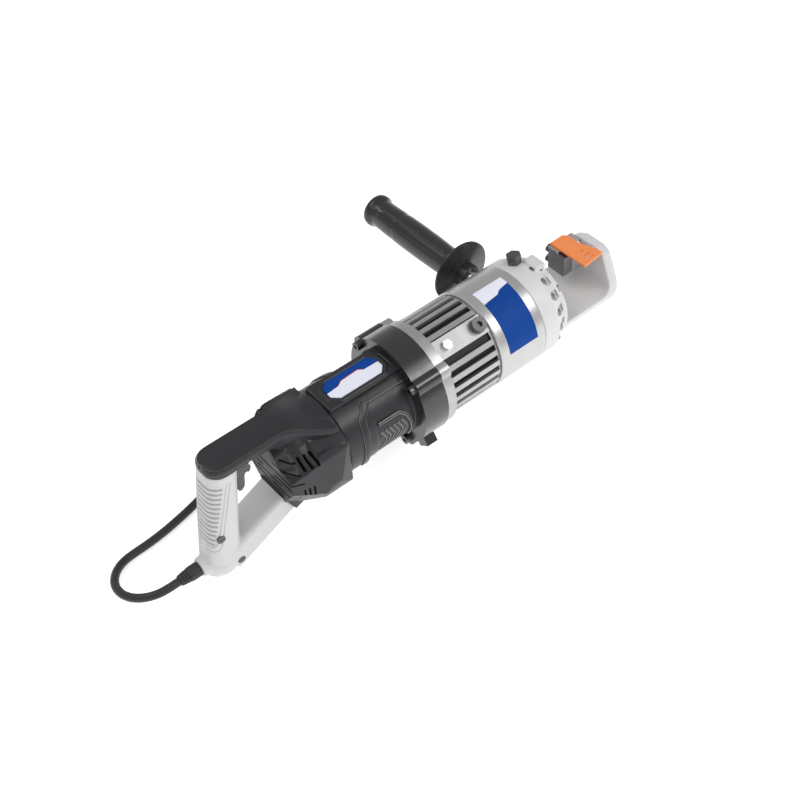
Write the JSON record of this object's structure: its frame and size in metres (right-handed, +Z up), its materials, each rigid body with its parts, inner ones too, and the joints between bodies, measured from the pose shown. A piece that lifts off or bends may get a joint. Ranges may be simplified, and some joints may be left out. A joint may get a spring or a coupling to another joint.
{
  "type": "electric hydraulic rebar cutter",
  "caption": "Hand-held electro-hydraulic rebar cutter: grip with trigger, motor, finned pump case, cylinder and an open cutting head with a sliding blade, plus side handle and cord.",
  "frame": {"origin": "under the middle of the tool's outline, side handle included and cord left out, on the surface that it stands on", "axes": "+X along the tool from the grip to the cutting head, +Y to the tool's left, the side handle's side, +Z up"},
  "size_m": [0.559, 0.267, 0.1513],
  "materials": {
    "black_plastic": "satin moulded black",
    "grey_plastic": "fine-grained light grey",
    "dark_plastic": "matt dark grey",
    "black_plastic_gloss": "smooth black",
    "black_rubber": "matt black",
    "dark_steel": "blackened",
    "bright_steel": "ground",
    "tool_steel": "ground, darkened",
    "lamination_steel": "stacked sheet",
    "nickel": "nickel plated",
    "brass": "machined",
    "copper": "copper wire and strip",
    "carbon": null,
    "cast_alloy": "as cast, edges polished",
    "turned_alloy": "fine turned",
    "black_paint": "gloss black",
    "pale_paint": "light grey satin paint on a steel casting",
    "orange_paint": "satin orange"
  },
  "bodies": {
    "frame": {"motor_housing": "black_plastic", "rear_cover": "black_plastic", "handle_half_left": "grey_plastic", "handle_half_right": "grey_plastic", "handle_screws": "dark_steel", "trigger_pin": "bright_steel", "power_switch": "dark_plastic", "cord_boot": "black_rubber", "cord_lead": "black_rubber", "cord_coil": "black_rubber", "cord_tail": "black_rubber", "plug_body": "black_rubber", "plug_pins": "nickel", "brush_holders": "brass", "carbon_brushes": "carbon", "stator_core": "lamination_steel", "field_coils": "copper", "rear_bearing": "bright_steel", "front_bearing": "bright_steel", "gear_case": "black_paint", "case_screws": "dark_steel", "shaft_bearing": "bright_steel", "bearing_plate": "cast_alloy", "pump_block": "cast_alloy", "pump_plunger": "bright_steel", "pump_case": "cast_alloy", "oil_bladder": "black_rubber", "oil_plug": "dark_steel", "plug_washer": "dark_steel", "vent_bolt": "nickel", "cylinder_body": "turned_alloy", "cutter_head": "pale_paint", "head_bolts": "nickel", "return_spring": "bright_steel", "guide_bush": "brass", "rod_wiper": "black_rubber", "fixed_blade": "tool_steel", "blade_block": "bright_steel", "blade_screws": "dark_steel", "side_screws": "dark_steel", "guard_plate": "orange_paint", "handle_stud": "bright_steel", "side_handle": "black_plastic_gloss"},
    "piston": {"piston": "bright_steel", "piston_seal": "black_rubber", "blade_holder": "bright_steel", "moving_blade": "tool_steel", "moving_blade_screw": "dark_steel"},
    "armature": {"armature_shaft": "bright_steel", "armature_core": "lamination_steel", "armature_windings": "copper", "commutator": "copper", "cooling_fan": "dark_plastic", "drive_pinion": "bright_steel"},
    "eccentric": {"drive_gear": "bright_steel", "eccentric_shaft": "bright_steel", "eccentric_bearing": "bright_steel"},
    "trigger": {"trigger": "dark_plastic"},
    "release_valve": {"release_valve": "dark_steel"}
  },
  "joints": [
    {"name": "piston_slide", "type": "slide", "parent": "frame", "child": "piston", "axis": [1, 0, 0], "range_m": [0, 0.028], "stiffness_N_per_m": 1500, "deforming": ["return_spring"]},
    {"name": "motor_spin", "type": "hinge", "parent": "frame", "child": "armature", "pos_m": [-0.0165, -0.0795, 0.092], "axis": [1, 0, 0], "continuous": true},
    {"name": "eccentric_spin", "type": "hinge", "parent": "frame", "child": "eccentric", "pos_m": [0.0235, -0.0795, 0.0655], "axis": [1, 0, 0], "continuous": true},
    {"name": "trigger_pull", "type": "hinge", "parent": "frame", "child": "trigger", "pos_m": [-0.1725, -0.0795, 0.132], "axis": [0, 1, 0], "range_deg": [0, 9], "stiffness_Nm_per_rad": 1},
    {"name": "release_valve_turn", "type": "hinge", "parent": "frame", "child": "release_valve", "pos_m": [0.1535, -0.0691, 0.14091], "axis": [0, 0.2079, 0.9781], "range_deg": [0, 180]}
  ],
  "couplings": [
    {"joint": "eccentric_spin", "follows": "motor_spin", "ratio": -0.33333}
  ]
}
